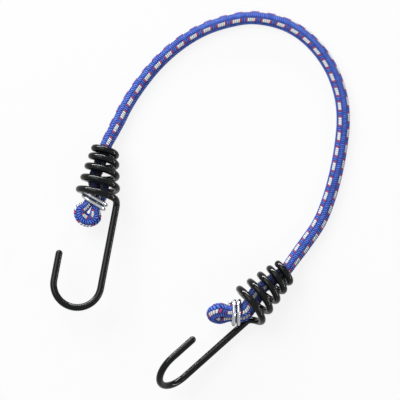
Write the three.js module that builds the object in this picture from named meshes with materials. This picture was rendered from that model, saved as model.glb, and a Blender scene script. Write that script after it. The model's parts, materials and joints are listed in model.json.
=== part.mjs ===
// A short bungee cord with a coated wire hook at each end. The cord is a bundle of rubber strands in a
// braided sheath. At each end it runs through the hook's conical coil, folds back on itself as an eye,
// and a wire clamp binds the fold, which is then too wide to pull back through the coil.
// Millimetres, +Z up. The cord lies on the plane z = 0, and the origin is under the middle of its length.
import * as THREE from 'three';

// The cord
const cordRadius = 4;
const sheathWall = 0.7;
const sheathToRubber = 0.15;
const endToEnd = 0.3;
const flatShare = 0.2;
const cordSides = 10;
const strandGrooveShare = 0.14;
const freeCordSteps = 19;
const eyeSteps = 36;

// How far the cord is squeezed, as shares of its radius across the fold and in depth
const roundShares = [1, 1];
const neckShares = [0.92, 0.92];
const pairShares = [0.84, 1];
const clampedShares = [0.69, 1.04];
const foldShares = [1, 1.02];

// The hook: a steel wire in a soft coating, wound as a cone and then bent to a plain hook
const steelRadius = 1.7;
const coatingWall = 0.3;
const steelToCoating = 0.1;
const smallCoilRadius = 6.3;
const wideCoilRadius = 12;
const coilTurns = 4;
const coilStartDegrees = 220;
const coilEndDegrees = 31;
const stepsPerTurn = 14;
const wireSides = 8;
const bendRadius = 4;
const bendSteps = 5;
const bendHandleShare = 0.6;
const shankOffset = 12.1;
const shankLength = 49.8;
const hookRadius = 14.1;
const hookSteps = 10;
const tipLength = 16.2;
const tipRings = 3;

// The eye and its clamp
const legSpacing = 5.8;
const pairSpacing = 7.2;
const eyeWidth = 9.5;
const foldDegrees = [80, 40, 0, -40, -80];
const clampWireRadius = 1.15;
const clampToCord = 0.5;
const clampLead = 0.6;
const clampTurns = 2;
const clampPitch = 2.8;
const clampStepsPerTurn = 20;
const clampSides = 6;
const clampCornerPower = 3;
const clampOverlapDegrees = 40;

// How the cord moves aside inside its coil to make room for its cut tail: each pair is a share of the coil's
// length and a share of half the pair's spacing. The pair as a whole also moves towards the clamp's place.
const asideShares = [[0, 0], [0.14, 0.18], [0.3, 0.38], [0.46, 0.56], [0.68, 0.93]];
const tailEndShare = 0.66;

// The route of the free cord: x, y, and the height as a share of the height at the coils' mouths
const routePoints = [
  [-116.5, -67.0, 1],
  [-114.0, -62.2, 0.78],
  [-109.4, -53.4, 0.4],
  [-103.1, -41.3, 0.1],
  [-94.6, -28.7, 0],
  [-84.4, -16.7, 0],
  [-72.0, -6.0, 0],
  [-58.6, 2.0, 0],
  [-43.9, 7.1, 0],
  [-28.9, 9.3, 0],
  [-12.2, 6.3, 0],
  [0.0, 0.0, 0],
  [10.9, -10.4, 0],
  [19.1, -23.5, 0],
  [23.9, -38.0, 0],
  [25.2, -50.9, 0],
  [24.1, -65.5, 0],
  [21.5, -80.7, 0],
  [17.1, -97.5, 0],
  [11.0, -112.9, 0.05],
  [1.8, -126.6, 0.33],
  [-5.0, -135.8, 0.78],
  [-8.4, -140.5, 1],
];

// How each end lies. Headings are seen from above, from +X, and point from the cord's middle to the hook.
// A shank leans away from its coil's axis by two angles, in the hook's plane and out of it.
const ends = {
  left: {
    heading: -99.2,
    hookRoll: 1,
    shankLean: [-1.5, -1],
    coilLength: 29.7,
    pitchPower: 1.22,
    clampReach: 13.9,
    clampOffset: 1.3,
    foldDistance: 8,
    eyeHeading: -118,
    eyeRise: 0,
    eyeRoll: 0,
  },
  right: {
    heading: -135.8,
    hookRoll: -61.4,
    shankLean: [3, -4.5],
    coilLength: 31.5,
    pitchPower: 1.15,
    clampReach: 18.9,
    clampOffset: 2.7,
    foldDistance: 8.6,
    eyeHeading: -177,
    eyeRise: 0,
    eyeRoll: -60,
  },
};

// Sizes that follow from the ones above
const wireRadius = steelRadius + steelToCoating + coatingWall;
const mouthReach = wireRadius + endToEnd;
const restHeight = cordRadius * (1 - flatShare);
const gripReach = (clampTurns * clampPitch) / 2 + clampWireRadius + clampToCord;

const up = new THREE.Vector3(0, 0, 1);
const radians = THREE.MathUtils.degToRad;

function along(start, direction, distance) {
  return start.clone().addScaledVector(direction, distance);
}

// Three square directions from a heading, a rise and a roll: the first two lie across the third.
function directions(heading, rise, roll) {
  const ahead = new THREE.Vector3(
    Math.cos(heading) * Math.cos(rise),
    Math.sin(heading) * Math.cos(rise),
    Math.sin(rise),
  );
  const side = new THREE.Vector3(-Math.sin(heading), Math.cos(heading), 0).applyAxisAngle(ahead, roll);
  return { side, over: ahead.clone().cross(side), ahead };
}

// The direction of a path at each of its points, which at a corner is the middle of its two stretches.
function pathDirections(points) {
  const runs = points.slice(1).map((point, i) => point.clone().sub(points[i]).normalize());
  return points.map((_, i) => {
    const before = runs[Math.max(i - 1, 0)];
    const after = runs[Math.min(i, runs.length - 1)];
    return before.clone().add(after).normalize();
  });
}

// One ring of points round a centre, which are given as [across, over] pairs.
function ringAround(centre, across, over, outline) {
  return outline.map(([a, b]) => along(along(centre, across, a), over, b));
}

// An ellipse with its lowest face level, cut off at a height, and with every second point drawn in.
function cordOutline(halfWidth, halfDepth, floorDepth, groove) {
  return Array.from({ length: cordSides }, (_, i) => {
    const angle = ((i + 0.5) / cordSides) * 2 * Math.PI - Math.PI / 2;
    const reach = i % 2 ? 1 - groove : 1;
    const b = halfDepth * Math.sin(angle) * reach;
    return [halfWidth * Math.cos(angle) * reach, Math.max(b, -floorDepth)];
  });
}

function circleOutline(radius, sides) {
  return Array.from({ length: sides }, (_, i) => {
    const angle = (i / sides) * 2 * Math.PI;
    return [radius * Math.cos(angle), radius * Math.sin(angle)];
  });
}

// A closed skin through rings that turn left about the path. With a bore it is open from end to end,
// and with a blind bore it is closed past the bore's last ring.
function skin(rings, bore = [], blind = false) {
  const sides = rings[0].length;
  const points = [...rings, ...bore].flat();
  const faces = [];
  const quad = (a, b, c, d, inward) => faces.push(...(inward ? [a, c, b, a, d, c] : [a, b, c, a, c, d]));
  const wall = (first, count, inward) => {
    for (let ring = first; ring < first + count - 1; ring += 1) {
      for (let i = 0; i < sides; i += 1) {
        const next = (i + 1) % sides;
        const after = ring + 1;
        quad(ring * sides + i, ring * sides + next, after * sides + next, after * sides + i, inward);
      }
    }
  };
  const disc = (ring, backward) => {
    for (let i = 1; i < sides - 1; i += 1) {
      const [a, b, c] = [0, i, i + 1].map((k) => ring * sides + k);
      faces.push(...(backward ? [a, c, b] : [a, b, c]));
    }
  };
  const rim = (outer, inner, backward) => {
    for (let i = 0; i < sides; i += 1) {
      const next = (i + 1) % sides;
      quad(outer * sides + i, outer * sides + next, inner * sides + next, inner * sides + i, backward);
    }
  };
  const firstBore = rings.length;
  const lastBore = rings.length + bore.length - 1;
  wall(0, rings.length, false);
  if (bore.length) {
    wall(firstBore, bore.length, true);
    rim(0, firstBore, true);
  } else {
    disc(0, true);
  }
  if (bore.length && !blind) {
    rim(rings.length - 1, lastBore, false);
  } else {
    disc(rings.length - 1, false);
  }
  if (blind) {
    disc(lastBore, true);
  }
  const geometry = new THREE.BufferGeometry();
  geometry.setAttribute('position', new THREE.Float32BufferAttribute(points.flatMap((p) => p.toArray()), 3));
  geometry.setIndex(faces);
  geometry.computeVertexNormals();
  return geometry;
}

// Frames that follow a path without twisting about it, from a first side direction.
function untwistedFrames(points, firstSide) {
  let side = firstSide.clone();
  return pathDirections(points).map((ahead, i) => {
    side = along(side, ahead, -side.dot(ahead)).normalize();
    return { centre: points[i], across: side, over: ahead.clone().cross(side), ahead };
  });
}

function wireRings(frames, radius, sides) {
  return frames.map((f) => ringAround(f.centre, f.across, f.over, circleOutline(radius, sides)));
}

// The least clear distance between stretches of a wound wire that are at least half a turn apart.
function leastGap(points, stepsInTurn, diameter) {
  let least = Infinity;
  points.forEach((point, i) => {
    for (let k = i + Math.floor(stepsInTurn / 2); k < points.length; k += 1) {
      least = Math.min(least, point.distanceTo(points[k]));
    }
  });
  return least - diameter;
}

// Where an end's coil lies: its axis starts in the small mouth and rises so that the cone lies on its side.
function coilPlace(end, mouth) {
  const rise = Math.atan2(wideCoilRadius - smallCoilRadius, end.coilLength);
  const axes = directions(radians(end.heading), rise, radians(end.hookRoll));
  const axis = (distance) => along(mouth, axes.ahead, mouthReach + distance);
  return { ...axes, axis };
}

function mouthHeight(end) {
  const rise = Math.atan2(wideCoilRadius - smallCoilRadius, end.coilLength);
  return (smallCoilRadius + wireRadius) * Math.cos(rise) - mouthReach * Math.sin(rise);
}

// The wire's path in its coil, as [side, over, along]: the radius grows evenly, the pitch by a power.
function coilPoints(end) {
  const degrees = coilStartDegrees - coilEndDegrees + coilTurns * 360;
  const steps = Math.round((degrees / 360) * stepsPerTurn);
  return Array.from({ length: steps + 1 }, (_, i) => {
    const growth = (i / steps) ** end.pitchPower;
    const angle = radians(coilStartDegrees - (degrees * i) / steps);
    const radius = smallCoilRadius + (wideCoilRadius - smallCoilRadius) * growth;
    return new THREE.Vector3(radius * Math.cos(angle), radius * Math.sin(angle), end.coilLength * growth);
  });
}

// The whole wire: the coil, a tight bend out of it, the shank, the hook's round and its tip.
function wirePoints(end) {
  const coil = coilPoints(end);
  const last = coil[coil.length - 1];
  const leaving = last.clone().sub(coil[coil.length - 2]).normalize();
  const shankStart = new THREE.Vector3(shankOffset, 0, end.coilLength + bendRadius);
  const [leanInPlane, leanAcross] = end.shankLean.map((degrees) => Math.tan(radians(degrees)));
  const shankWay = new THREE.Vector3(leanInPlane, leanAcross, 1).normalize();
  const outward = along(new THREE.Vector3(1, 0, 0), shankWay, -shankWay.x).normalize();
  const handle = bendRadius * bendHandleShare;
  const bend = new THREE.CubicBezierCurve3(
    last,
    along(last, leaving, handle),
    along(shankStart, shankWay, -handle),
    shankStart,
  );
  const roundCentre = along(along(shankStart, shankWay, shankLength), outward, -hookRadius);
  const round = Array.from({ length: hookSteps + 1 }, (_, i) => {
    const angle = (i / hookSteps) * Math.PI;
    const acrossCentre = along(roundCentre, outward, hookRadius * Math.cos(angle));
    return along(acrossCentre, shankWay, hookRadius * Math.sin(angle));
  });
  const tip = along(round[hookSteps], shankWay, -tipLength);
  return { coil, points: [...coil, ...bend.getPoints(bendSteps).slice(1), ...round, tip] };
}

function hookGeometries(name, end, place) {
  const { coil, points } = wirePoints(end);
  const world = points.map((p) => along(along(place.axis(p.z), place.side, p.x), place.over, p.y));
  const frames = untwistedFrames(world, place.ahead);
  const last = frames[frames.length - 1];
  const dome = Array.from({ length: tipRings }, (_, i) => {
    const angle = ((i + 1) / (tipRings + 1)) * (Math.PI / 2);
    const centre = along(last.centre, last.ahead, wireRadius * Math.sin(angle));
    const outline = circleOutline(wireRadius * Math.cos(angle), wireSides);
    return ringAround(centre, last.across, last.over, outline);
  });
  const outside = [...wireRings(frames, wireRadius, wireSides), ...dome];
  const bore = wireRings(frames, steelRadius + steelToCoating, wireSides);
  const steelEnd = { ...last, centre: along(last.centre, last.ahead, -steelToCoating) };
  const steel = wireRings([...frames.slice(0, -1), steelEnd], steelRadius, wireSides);
  const gap = leastGap(coil, stepsPerTurn, 2 * wireRadius);
  console.log(`${name} coil: least gap between turns ${gap.toFixed(2)} mm`);
  return { coating: skin(outside, bore, true), wire: skin(steel) };
}

// Where the clamp sits, and the directions of the eye that comes out of it. The wider the coil's last turn is,
// the deeper the clamp lies in it.
function eyePlace(end, place) {
  const eye = directions(radians(end.eyeHeading), radians(end.eyeRise), radians(end.eyeRoll));
  const lean = along(eye.ahead, place.ahead, -eye.ahead.dot(place.ahead)).normalize();
  const clampDistance = end.coilLength + end.clampReach - wideCoilRadius;
  const clamp = along(place.axis(clampDistance), lean, end.clampOffset);
  return { ...eye, lean, clamp };
}

// The cord from the coil's mouth, along its axis, through the clamp, round the eye and back to its cut tail.
// Each row is a point and the shares of the cord's radius there.
function eyeRows(mouth, mouthWay, end, place, eye) {
  const start = along(mouth, mouthWay, endToEnd);
  const inCoil = (share, aside) => {
    const middle = along(place.axis(end.coilLength * share), eye.lean, end.clampOffset * share);
    return along(middle, eye.side, (aside * pairSpacing) / 2);
  };
  const atEye = (distance, side, spacing) =>
    along(along(eye.clamp, eye.ahead, distance), eye.side, (side * spacing) / 2);
  const fold = foldDegrees.map((degrees) => {
    const reach = end.foldDistance + (eyeWidth / 2) * Math.cos(radians(degrees));
    return [atEye(reach, -Math.sin(radians(degrees)), eyeWidth), foldShares];
  });
  const sharesThere = (share) => (share < tailEndShare ? neckShares : pairShares);
  const grip = [-gripReach - clampLead, 0, gripReach];
  const gripped = (side) => grip.map((distance) => [atEye(distance, side, legSpacing), clampedShares]);
  return [
    [start, neckShares],
    ...asideShares.map(([share, aside]) => [inCoil(share, -aside), sharesThere(share)]),
    ...gripped(-1),
    ...fold,
    ...gripped(1).reverse(),
    [inCoil(tailEndShare, 1), pairShares],
  ];
}

function eyeGeometries(mouth, mouthWay, end, place, eye) {
  const rows = eyeRows(mouth, mouthWay, end, place, eye);
  const curve = new THREE.CatmullRomCurve3(rows.map(([point]) => point));
  const stations = Array.from({ length: eyeSteps + 1 }, (_, i) => {
    const t = curve.getUtoTmapping(i / eyeSteps);
    const rowsPassed = t * (rows.length - 1);
    const row = Math.min(Math.floor(rowsPassed), rows.length - 2);
    const between = rowsPassed - row;
    const shares = [0, 1].map((k) => THREE.MathUtils.lerp(rows[row][1][k], rows[row + 1][1][k], between));
    return { centre: curve.getPoint(t), ahead: i ? curve.getTangent(t) : mouthWay, shares };
  });
  const rings = (inset, groove) =>
    stations.map(({ centre, ahead, shares }) => {
      const across = eye.over.clone().cross(ahead).normalize();
      const over = ahead.clone().cross(across);
      const [halfWidth, halfDepth] = shares.map((share) => cordRadius * share - inset);
      return ringAround(centre, across, over, cordOutline(halfWidth, halfDepth, halfDepth, groove));
    });
  return {
    sheath: skin(rings(0, 0), rings(sheathWall, 0)),
    rubber: skin(rings(sheathWall + sheathToRubber, strandGrooveShare)),
  };
}

// The clamp's wire, wound as a rounded box round both legs of the fold.
function clampGeometry(name, eye) {
  const clear = clampToCord + clampWireRadius;
  const halfWidth = legSpacing / 2 + cordRadius * clampedShares[0] + clear;
  const halfDepth = cordRadius * clampedShares[1] + clear;
  const overlap = radians(clampOverlapDegrees);
  const sweep = clampTurns * 2 * Math.PI + overlap;
  const steps = Math.round((sweep / (2 * Math.PI)) * clampStepsPerTurn);
  const bulge = (value) => Math.sign(value) * Math.abs(value) ** (2 / clampCornerPower);
  const points = Array.from({ length: steps + 1 }, (_, i) => {
    const angle = (sweep * i) / steps - (Math.PI + overlap) / 2;
    const travel = clampPitch * (sweep / (4 * Math.PI) - (sweep * i) / steps / (2 * Math.PI));
    const flat = along(eye.clamp, eye.side, halfWidth * bulge(Math.cos(angle)));
    return along(along(flat, eye.over, halfDepth * bulge(Math.sin(angle))), eye.ahead, travel);
  });
  const gap = leastGap(points, clampStepsPerTurn, 2 * clampWireRadius);
  console.log(`${name} clamp: least gap between turns ${gap.toFixed(2)} mm`);
  return skin(wireRings(untwistedFrames(points, eye.ahead), clampWireRadius, clampSides));
}

// The free stretch of the cord, level where it lies, with its underside pressed flat.
function freeCord() {
  const heights = [mouthHeight(ends.left), mouthHeight(ends.right)];
  const middle = Math.floor(routePoints.length / 2);
  const points = routePoints.map(([x, y, liftShare], i) => {
    const height = heights[i < middle ? 0 : 1];
    return new THREE.Vector3(x, y, THREE.MathUtils.lerp(restHeight, height, liftShare));
  });
  const curve = new THREE.CatmullRomCurve3(points);
  const stations = Array.from({ length: freeCordSteps + 1 }, (_, i) => {
    const ahead = curve.getTangentAt(i / freeCordSteps);
    const share = i % freeCordSteps ? roundShares[0] : neckShares[0];
    return { centre: curve.getPointAt(i / freeCordSteps), ahead, share };
  });
  const rings = (inset, groove) =>
    stations.map(({ centre, ahead, share }) => {
      const across = up.clone().cross(ahead).normalize();
      const radius = cordRadius * share - inset;
      return ringAround(
        centre,
        across,
        ahead.clone().cross(across),
        cordOutline(radius, radius, restHeight - inset, groove),
      );
    });
  console.log(`free cord: ${curve.getLength().toFixed(1)} mm long`);
  return {
    mouths: { left: points[0], right: points[points.length - 1] },
    ways: { left: stations[0].ahead.clone().negate(), right: stations[freeCordSteps].ahead },
    sheath: skin(rings(0, 0), rings(sheathWall, 0)),
    rubber: skin(rings(sheathWall + sheathToRubber, strandGrooveShare)),
  };
}

const materials = {
  sheath: { color: 0x2b49c4, roughness: 0.75, metalness: 0 },
  rubber: { color: 0xcdbf96, roughness: 0.85, metalness: 0 },
  coating: { color: 0x131416, roughness: 0.25, metalness: 0 },
  steel: { color: 0x8d9094, roughness: 0.35, metalness: 1 },
  zinc: { color: 0xc6cace, roughness: 0.25, metalness: 1 },
};

const bungeeCord = new THREE.Group();

function addPiece(name, geometry, material) {
  const piece = new THREE.Mesh(geometry, new THREE.MeshStandardMaterial(materials[material]));
  piece.name = name;
  bungeeCord.add(piece);
}

const free = freeCord();
addPiece('free_cord_sheath', free.sheath, 'sheath');
addPiece('free_cord_rubber', free.rubber, 'rubber');
Object.entries(ends).forEach(([name, end]) => {
  const place = coilPlace(end, free.mouths[name]);
  const eye = eyePlace(end, place);
  const hook = hookGeometries(name, end, place);
  const fold = eyeGeometries(free.mouths[name], free.ways[name], end, place, eye);
  addPiece(`${name}_hook_wire`, hook.wire, 'steel');
  addPiece(`${name}_hook_coating`, hook.coating, 'coating');
  addPiece(`${name}_eye_sheath`, fold.sheath, 'sheath');
  addPiece(`${name}_eye_rubber`, fold.rubber, 'rubber');
  addPiece(`${name}_clamp_wire`, clampGeometry(name, eye), 'zinc');
});

export default bungeeCord;
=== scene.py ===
"""A bungee cord with a coated wire hook at each end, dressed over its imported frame.

The cord, its eyes and the wires are rings carried along paths. Lengths are in metres unless a comment says
otherwise, and the cord lies on the plane z = 0. Each coil's axis and its small end come from the joint on
which the hook turns.
"""

import json
import math

import bpy
import numpy as np
from bpy.props import FloatProperty, FloatVectorProperty, IntProperty, PointerProperty
from mathutils import Vector
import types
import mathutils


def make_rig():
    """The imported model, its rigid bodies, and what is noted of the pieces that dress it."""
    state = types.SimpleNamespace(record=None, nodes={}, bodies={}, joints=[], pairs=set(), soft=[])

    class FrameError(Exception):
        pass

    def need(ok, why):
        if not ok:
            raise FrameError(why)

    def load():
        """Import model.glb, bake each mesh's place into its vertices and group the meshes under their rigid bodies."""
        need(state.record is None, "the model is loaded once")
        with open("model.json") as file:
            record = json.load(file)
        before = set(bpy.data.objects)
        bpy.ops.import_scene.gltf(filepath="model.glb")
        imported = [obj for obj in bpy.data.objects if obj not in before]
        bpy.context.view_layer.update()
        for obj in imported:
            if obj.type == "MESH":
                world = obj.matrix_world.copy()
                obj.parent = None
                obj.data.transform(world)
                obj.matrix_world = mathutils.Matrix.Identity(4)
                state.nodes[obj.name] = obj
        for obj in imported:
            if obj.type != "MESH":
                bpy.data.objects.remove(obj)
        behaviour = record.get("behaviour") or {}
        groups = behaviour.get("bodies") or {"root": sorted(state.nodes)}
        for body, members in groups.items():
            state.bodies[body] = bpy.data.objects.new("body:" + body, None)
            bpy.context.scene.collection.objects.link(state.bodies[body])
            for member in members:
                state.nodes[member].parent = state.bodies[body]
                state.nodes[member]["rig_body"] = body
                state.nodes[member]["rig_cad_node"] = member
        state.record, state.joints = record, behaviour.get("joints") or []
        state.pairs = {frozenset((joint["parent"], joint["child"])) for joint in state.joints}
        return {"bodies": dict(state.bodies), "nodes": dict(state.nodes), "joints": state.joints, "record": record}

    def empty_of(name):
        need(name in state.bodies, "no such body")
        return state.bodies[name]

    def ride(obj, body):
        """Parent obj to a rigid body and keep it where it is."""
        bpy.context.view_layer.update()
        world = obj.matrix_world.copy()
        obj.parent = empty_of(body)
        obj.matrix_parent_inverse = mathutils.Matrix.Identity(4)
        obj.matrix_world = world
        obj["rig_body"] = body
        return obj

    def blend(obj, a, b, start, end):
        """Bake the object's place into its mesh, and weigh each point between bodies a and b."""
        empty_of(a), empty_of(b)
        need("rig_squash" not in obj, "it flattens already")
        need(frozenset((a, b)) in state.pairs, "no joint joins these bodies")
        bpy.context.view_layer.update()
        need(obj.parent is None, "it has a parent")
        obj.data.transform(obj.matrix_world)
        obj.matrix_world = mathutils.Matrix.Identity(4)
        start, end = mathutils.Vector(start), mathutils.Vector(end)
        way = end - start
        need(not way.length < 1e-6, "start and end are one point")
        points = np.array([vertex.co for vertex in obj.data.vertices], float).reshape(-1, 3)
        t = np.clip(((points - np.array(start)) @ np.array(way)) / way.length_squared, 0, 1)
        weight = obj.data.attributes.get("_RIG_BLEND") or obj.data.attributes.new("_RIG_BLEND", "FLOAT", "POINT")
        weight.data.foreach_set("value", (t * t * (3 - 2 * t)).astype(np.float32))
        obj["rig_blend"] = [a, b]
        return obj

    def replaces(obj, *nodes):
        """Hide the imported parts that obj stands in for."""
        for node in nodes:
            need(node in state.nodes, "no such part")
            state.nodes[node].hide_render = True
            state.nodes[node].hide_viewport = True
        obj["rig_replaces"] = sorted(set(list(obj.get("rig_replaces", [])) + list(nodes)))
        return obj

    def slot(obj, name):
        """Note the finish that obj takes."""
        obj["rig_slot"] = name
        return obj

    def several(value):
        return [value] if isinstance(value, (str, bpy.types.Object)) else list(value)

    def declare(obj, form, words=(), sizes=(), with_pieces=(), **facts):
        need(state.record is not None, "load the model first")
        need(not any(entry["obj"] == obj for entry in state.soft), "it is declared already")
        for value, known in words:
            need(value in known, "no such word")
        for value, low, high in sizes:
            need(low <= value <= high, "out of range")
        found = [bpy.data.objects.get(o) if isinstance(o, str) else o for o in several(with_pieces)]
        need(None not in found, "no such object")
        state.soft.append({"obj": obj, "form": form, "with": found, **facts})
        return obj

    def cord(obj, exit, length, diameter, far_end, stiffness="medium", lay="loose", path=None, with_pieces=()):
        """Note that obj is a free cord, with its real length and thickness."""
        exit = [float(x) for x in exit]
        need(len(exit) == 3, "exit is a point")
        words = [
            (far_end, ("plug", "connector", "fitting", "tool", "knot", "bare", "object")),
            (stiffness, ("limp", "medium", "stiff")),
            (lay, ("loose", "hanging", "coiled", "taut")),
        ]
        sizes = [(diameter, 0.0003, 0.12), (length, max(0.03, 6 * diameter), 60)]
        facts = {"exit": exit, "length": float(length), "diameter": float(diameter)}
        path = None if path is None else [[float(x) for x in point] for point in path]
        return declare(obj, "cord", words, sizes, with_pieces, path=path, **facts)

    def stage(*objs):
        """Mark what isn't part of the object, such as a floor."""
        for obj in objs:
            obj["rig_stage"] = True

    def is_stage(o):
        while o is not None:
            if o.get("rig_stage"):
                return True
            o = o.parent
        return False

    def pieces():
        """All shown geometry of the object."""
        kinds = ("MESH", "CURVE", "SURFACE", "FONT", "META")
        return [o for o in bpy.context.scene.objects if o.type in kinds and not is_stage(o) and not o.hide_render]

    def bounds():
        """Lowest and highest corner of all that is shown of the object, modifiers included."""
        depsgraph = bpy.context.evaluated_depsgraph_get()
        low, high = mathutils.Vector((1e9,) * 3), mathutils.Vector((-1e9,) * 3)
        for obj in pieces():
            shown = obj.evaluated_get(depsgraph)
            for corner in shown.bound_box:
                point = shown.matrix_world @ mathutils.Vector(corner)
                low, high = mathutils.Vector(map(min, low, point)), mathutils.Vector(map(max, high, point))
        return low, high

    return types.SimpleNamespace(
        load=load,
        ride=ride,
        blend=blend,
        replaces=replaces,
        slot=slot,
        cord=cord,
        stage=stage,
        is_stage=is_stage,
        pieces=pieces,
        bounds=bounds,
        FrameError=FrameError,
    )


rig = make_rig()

bl_info = {
    "name": "Bungee Cord",
    "version": (1, 0, 0),
    "blender": (4, 5, 0),
    "location": "3D View > Sidebar > Bungee Cord",
    "description": "Builds a braided elastic cord with a coated wire hook at each end",
    "category": "Add Mesh",
}

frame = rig.load()
SOLID_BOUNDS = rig.bounds()
JOINTS = {joint["name"]: joint for joint in frame["joints"]}
MM = 0.001

# The route of the free cord: x and y in millimetres, and how far its middle has risen there, from 0 where
# the cord lies on the floor to 1 at the mouth of the nearer coil
ROUTE = (
    (-116.5, -67.0, 1),
    (-114.0, -62.2, 0.78),
    (-109.4, -53.4, 0.4),
    (-103.1, -41.3, 0.1),
    (-94.6, -28.7, 0),
    (-84.4, -16.7, 0),
    (-72.0, -6.0, 0),
    (-58.6, 2.0, 0),
    (-43.9, 7.1, 0),
    (-28.9, 9.3, 0),
    (-12.2, 6.3, 0),
    (0.0, 0.0, 0),
    (10.9, -10.4, 0),
    (19.1, -23.5, 0),
    (23.9, -38.0, 0),
    (25.2, -50.9, 0),
    (24.1, -65.5, 0),
    (21.5, -80.7, 0),
    (17.1, -97.5, 0),
    (11.0, -112.9, 0.05),
    (1.8, -126.6, 0.33),
    (-5.0, -135.8, 0.78),
    (-8.4, -140.5, 1),
)

# How each end lies. Angles are in degrees, and the eye's heading is seen from above, from +X. The shank
# leans away from the coil's axis by two angles, in the hook's plane and out of it. The clamp's middle lies
# beyond the coil's wide end by its distance along the axis and its offset square to it, and the fold's lies
# beyond the clamp. A tracer is the first rib's number, then the tracer's angles at even stops along the
# cord. Inside the coil the braid carries painted shade, dark as the shadow between the turns: each pair is
# a share of the coil's length and how dark the painted shade is there.
ENDS = {
    "left": {
        "hook_roll": 1,
        "shank_lean": (-1.5, -1),
        "coil_length": 0.0297,
        "pitch_power": 1.22,
        "clamp_distance": 0.0019,
        "clamp_offset": 0.0013,
        "fold_distance": 0.008,
        "eye_heading": -118,
        "eye_roll": 0,
        "tracer": (0.7, -28, -28),
        "painted_shade_stops": ((0, 1), (0.85, 0.96), (1.02, 0.3), (1.15, 0)),
    },
    "right": {
        "hook_roll": -61.4,
        "shank_lean": (3, -4.5),
        "coil_length": 0.0315,
        "pitch_power": 1.15,
        "clamp_distance": 0.0069,
        "clamp_offset": 0.0027,
        "fold_distance": 0.0086,
        "eye_heading": -177,
        "eye_roll": -60,
        "tracer": (3.5, 50, 50),
        "painted_shade_stops": ((0, 0.94), (0.3, 0.88), (0.45, 0.72), (0.9, 0.6), (1.1, 0.05)),
    },
}

# The cord's squeeze, as shares of its radius across the fold and in depth
NECK = (0.92, 0.92)
PAIR = (0.84, 1)
CLAMPED = (0.69, 1.04)
FOLD = (1, 1.02)

# The hook: its coil, the bend out of it, its shank, its round and its tip, and how far before the coil the
# cord's mouth is. The coil makes its whole turns and the way from its start's angle to its end's.
SMALL_COIL_RADIUS = 0.0063
WIDE_COIL_RADIUS = 0.012
COIL_TURNS = 4
COIL_START_DEGREES = 220
COIL_END_DEGREES = 31
BEND_RADIUS = 0.004
BEND_HANDLE_SHARE = 0.6
SHANK_OFFSET = 0.0121
SHANK_LENGTH = 0.0498
HOOK_RADIUS = 0.0141
TIP_LENGTH = 0.0162
MOUTH_REACH = 0.0024

# How far the free cord goes on from the mouth, and how far before the coil the eye's stretch starts
CORD_LEAD = 0.9 * MOUTH_REACH
EYE_LEAD = 0.5 * MOUTH_REACH

# The free cord leaves its coils squeezed, and widens over the next stretch
SQUEEZED_LENGTH = 2 * MOUTH_REACH
WIDENING_LENGTH = 0.012

# Height of the resting cord's middle, as a share of its radius: its underside is pressed flat
RESTING_SHARE = 0.8

# The eye and its clamp. The cord's two legs lie LEG_SPACING apart in the clamp and PAIR_SPACING apart in the
# coil, middle to middle, and the fold's circle is EYE_WIDTH across. The legs are straight for GRIP_REACH on
# both sides of the clamp's middle, and for CLAMP_LEAD more towards the coil. The clamp's wire makes its
# whole turns and the overlap.
LEG_SPACING = 0.0058
PAIR_SPACING = 0.0072
EYE_WIDTH = 0.0095
FOLD_DEGREES = (80, 40, 0, -40, -80)
GRIP_REACH = 0.00445
CLAMP_TO_CORD = 0.0005
CLAMP_LEAD = 0.0006
CLAMP_WIRE_RADIUS = 0.00115
CLAMP_TURNS = 2
CLAMP_PITCH = 0.0028
CLAMP_CORNER_POWER = 3
CLAMP_OVERLAP_DEGREES = 40

# How the cord moves aside inside its coil: shares of the coil's length, and of half the pair's spacing
ASIDE_SHARES = ((0.04, 0.03), (0.14, 0.18), (0.3, 0.38), (0.46, 0.56), (0.68, 0.93))
TAIL_END_SHARE = 0.66

# The braid: ribs lie in columns round the cord, and lean one way and the other in turn. The free cord's
# tracer is given as the ends' are.
BRAID_COLUMNS = 8
FACES_PER_COLUMN = 7
RINGS_PER_RIB = 5
RIBS_PER_REPEAT = 8
RIB_LEAN = 0.56
FREE_TRACER = (6.1, 11, 16, 21, 33, 50)

# The braid's relief: how round a rib is, how far and how sharply it falls at its column's edges, and how far
# it stands out from the cord's own radius, as a share of the rib depth
RIB_ROUNDNESS = 0.97
COLUMN_FALL = 0.5
COLUMN_POWER = 4
RIB_RISE = 0.2

# The braid's pattern. In a traced column the first ribs of each repeat are white, and the next and the last
# are red. White and red reach these shares of the way from a column's middle to its edges.
WHITE_RIBS = 4
WHITE_REACH = 0.68
RED_REACH = 0.9
THREADS_PER_RIB = 6

# The cut tail: the sheath's wall and the depth of its bore, and the strands in it. Each row of strands is a
# share of the rubber's radius and how many it holds, and the strands left over fill the outer row. A
# strand's radius is a share of the rubber's too, and its tip stands past the sheath by an uneven length
# between two bounds.
SHEATH_WALL = 0.0007
BORE_DEPTH = 0.003
STRAND_ROWS = ((0, 1), (0.4, 6))
OUTER_ROW = 0.8
STRAND_RADIUS = 0.17
STRAND_LENGTH = 0.0026
STRAND_REACH = (0.0001, 0.0009)
STRAND_SEED = 7
TAIL_STEP = 0.0005

# Each wire's rings: the distance from ring to ring and the points in a ring
COATING_GRID = (0.0005, 28)
STEEL_GRID = (0.0008, 20)
CLAMP_GRID = (0.0003, 20)
STRAND_GRID = (0.001, 10)

# Points on a wire's middle line: in a coil or clamp, in the bend and in the round
WINDING_POINTS = 360
BEND_POINTS = 24
ROUND_POINTS = 48

# The wires' cut ends. A pair is a distance beyond the path's end and a share of the wire's radius there.
# The coating ends in a rim round a bore in which the steel shows, a little thinner than the bore.
STEEL_CUT = ((0.00012, 0.9), (0.00006, 0.98))
STEEL_IN_BORE = 0.99
CLAMP_CUT = (0.0002, 0.86)
RIM_BORE_DEPTH = 0.0008
RIM_INNER_REACH = 0.0001
RIM_OUTER = (0.0002, 0.94)

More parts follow.
